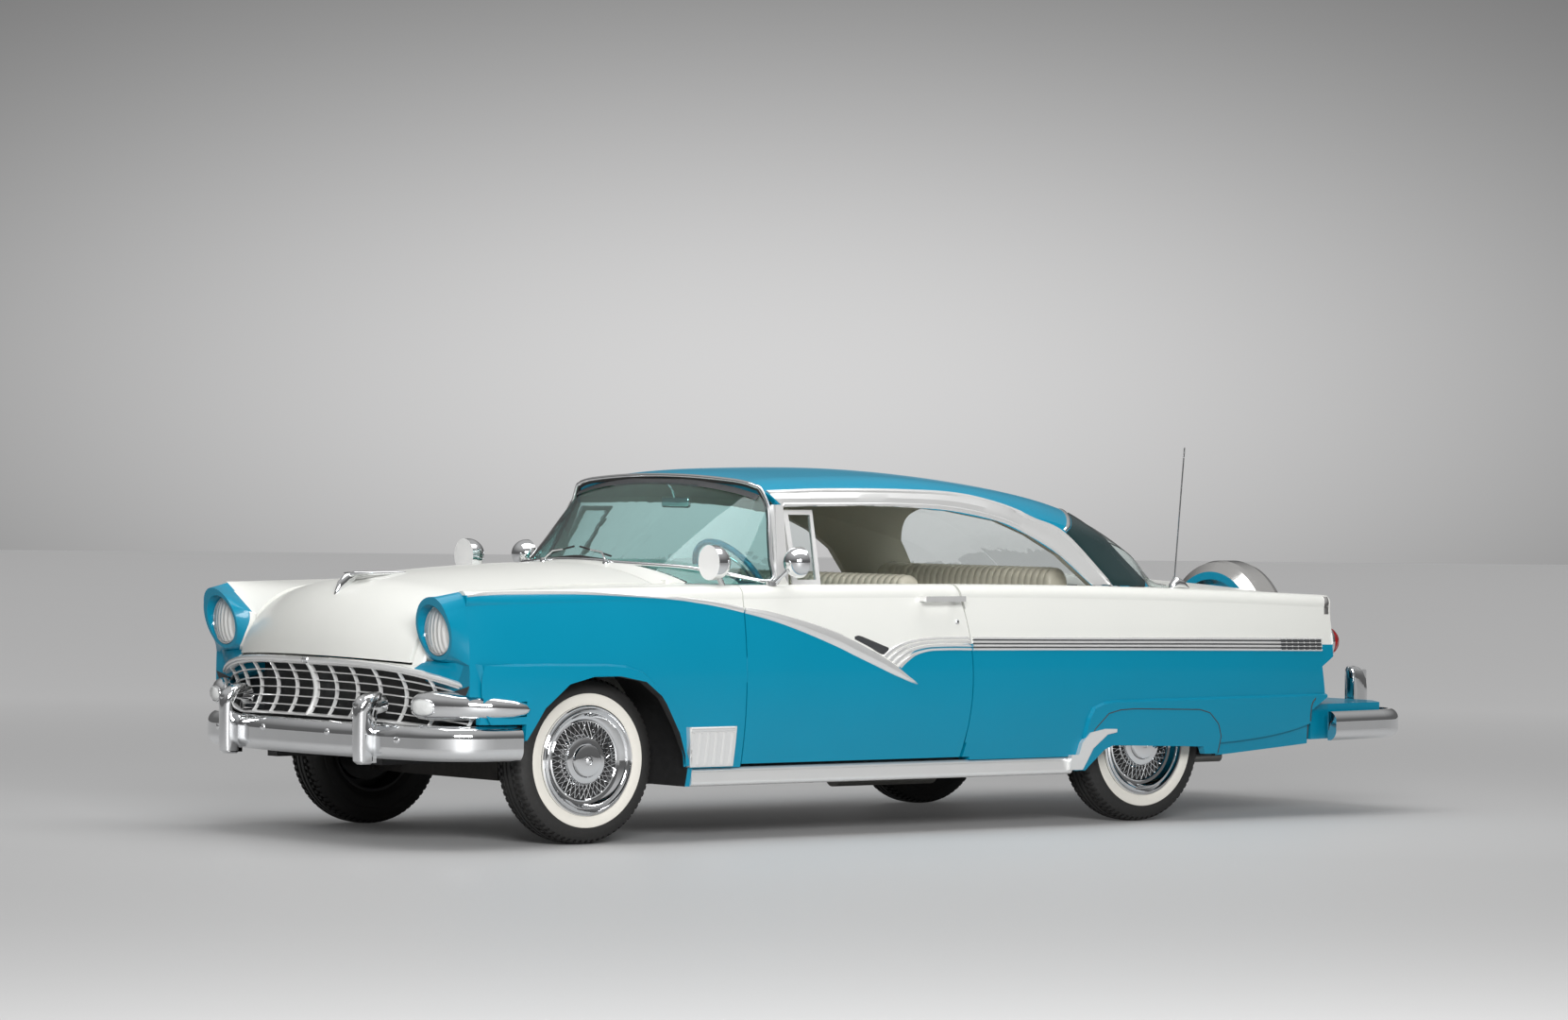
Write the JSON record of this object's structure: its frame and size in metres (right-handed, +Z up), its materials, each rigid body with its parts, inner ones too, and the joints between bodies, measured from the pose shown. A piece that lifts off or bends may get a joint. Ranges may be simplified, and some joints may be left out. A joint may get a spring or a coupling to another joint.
{
  "type": "two-door hardtop car",
  "caption": "Full-size two-door hardtop car of the 1950s with fender skirts, rear-mounted spare wheel, opening doors and lids, steering and rolling wheels.",
  "frame": {"origin": "bottom centre of the bounding box, on the ground", "axes": "+X forward, +Y to the left of the car, +Z up"},
  "size_m": [5.3948, 2.004, 1.5863],
  "materials": {
    "turquoise_paint": "gloss",
    "white_paint": "gloss",
    "chrome": "polished",
    "tinted_glass": "clear",
    "lamp_glass": "clear",
    "red_lens": "gloss",
    "tyre_rubber": "matte",
    "seat_vinyl": "satin",
    "black_steel": "satin",
    "cast_iron": "rough",
    "steel_pipe": "satin"
  },
  "bodies": {
    "car_body": {"front_fender_left": "turquoise_paint", "front_fender_right": "turquoise_paint", "quarter_left": "turquoise_paint", "quarter_right": "turquoise_paint", "fender_skirts": "turquoise_paint", "roof": "turquoise_paint", "headlamp_bezels": "turquoise_paint", "splash_apron": "turquoise_paint", "rear_panel": "turquoise_paint", "dashboard": "turquoise_paint", "steering_column": "turquoise_paint", "deck_panel": "white_paint", "cowl": "white_paint", "grille": "chrome", "gravel_shields": "chrome", "front_bumper": "chrome", "rear_bumper": "chrome", "parking_pods": "chrome", "sills": "chrome", "spotlights": "chrome", "antenna": "chrome", "spare_wheel": "chrome", "windshield": "tinted_glass", "rear_window": "tinted_glass", "headlamp_lenses": "lamp_glass", "tail_lamps": "red_lens", "front_seat": "seat_vinyl", "rear_seat": "seat_vinyl", "frame_rails": "black_steel", "cross_members": "black_steel", "underbody": "black_steel", "front_valance": "black_steel", "front_suspension": "black_steel", "rear_axle": "black_steel", "fuel_tank": "black_steel", "power_train": "cast_iron", "exhaust": "steel_pipe"},
    "hood": {"hood": "white_paint", "hood_ornament": "chrome"},
    "trunk_lid": {"trunk_lid": "white_paint"},
    "door_left": {"door_left": "turquoise_paint", "vent_frame_left": "chrome", "vent_glass_left": "tinted_glass", "door_fittings_left": "chrome"},
    "door_right": {"door_right": "turquoise_paint", "vent_frame_right": "chrome", "vent_glass_right": "tinted_glass", "door_fittings_right": "chrome"},
    "knuckle_left": {"knuckle_left": "black_steel"},
    "knuckle_right": {"knuckle_right": "black_steel"},
    "steering_wheel": {"steering_wheel": "turquoise_paint"},
    "wheel_front_left": {"tyre_front_left": "tyre_rubber", "wheel_front_left": "chrome"},
    "wheel_front_right": {"tyre_front_right": "tyre_rubber", "wheel_front_right": "chrome"},
    "wheel_rear_left": {"tyre_rear_left": "tyre_rubber", "wheel_rear_left": "chrome"},
    "wheel_rear_right": {"tyre_rear_right": "tyre_rubber", "wheel_rear_right": "chrome"}
  },
  "joints": [
    {"name": "steer", "type": "hinge", "parent": "car_body", "child": "knuckle_left", "pos_m": [1.8295, 0.6385, 0.33], "axis": [0, 0, 1], "range_deg": [-30, 30]},
    {"name": "steer_right", "type": "hinge", "parent": "car_body", "child": "knuckle_right", "pos_m": [1.8295, -0.6385, 0.33], "axis": [0, 0, 1], "range_deg": [-30, 30]},
    {"name": "steering_wheel_turn", "type": "hinge", "parent": "car_body", "child": "steering_wheel", "pos_m": [0.7895, 0.385, 1.006], "axis": [-0.848, 0, 0.5299], "range_deg": [-490, 490]},
    {"name": "front_left_roll", "type": "hinge", "parent": "knuckle_left", "child": "wheel_front_left", "pos_m": [1.8295, 0.7365, 0.33], "axis": [0, 1, 0], "continuous": true},
    {"name": "front_right_roll", "type": "hinge", "parent": "knuckle_right", "child": "wheel_front_right", "pos_m": [1.8295, -0.7365, 0.33], "axis": [0, 1, 0], "continuous": true},
    {"name": "rear_left_roll", "type": "hinge", "parent": "car_body", "child": "wheel_rear_left", "pos_m": [-1.1045, 0.711, 0.33], "axis": [0, 1, 0], "continuous": true},
    {"name": "rear_right_roll", "type": "hinge", "parent": "car_body", "child": "wheel_rear_right", "pos_m": [-1.1045, -0.711, 0.33], "axis": [0, 1, 0], "continuous": true},
    {"name": "door_left_open", "type": "hinge", "parent": "car_body", "child": "door_left", "pos_m": [1.141, 0.947, 0.68], "axis": [0, 0, -1], "range_deg": [0, 65]},
    {"name": "door_right_open", "type": "hinge", "parent": "car_body", "child": "door_right", "pos_m": [1.141, -0.947, 0.68], "axis": [0, 0, 1], "range_deg": [0, 65]},
    {"name": "hood_open", "type": "hinge", "parent": "car_body", "child": "hood", "pos_m": [1.36, 0, 1.088], "axis": [0, -1, 0], "range_deg": [0, 45]},
    {"name": "trunk_open", "type": "hinge", "parent": "car_body", "child": "trunk_lid", "pos_m": [-1.405, 0, 1.018], "axis": [0, 1, 0], "range_deg": [0, 60]}
  ],
  "couplings": [
    {"joint": "steer_right", "follows": "steer", "ratio": 1},
    {"joint": "steering_wheel_turn", "follows": "steer", "ratio": 16}
  ]
}
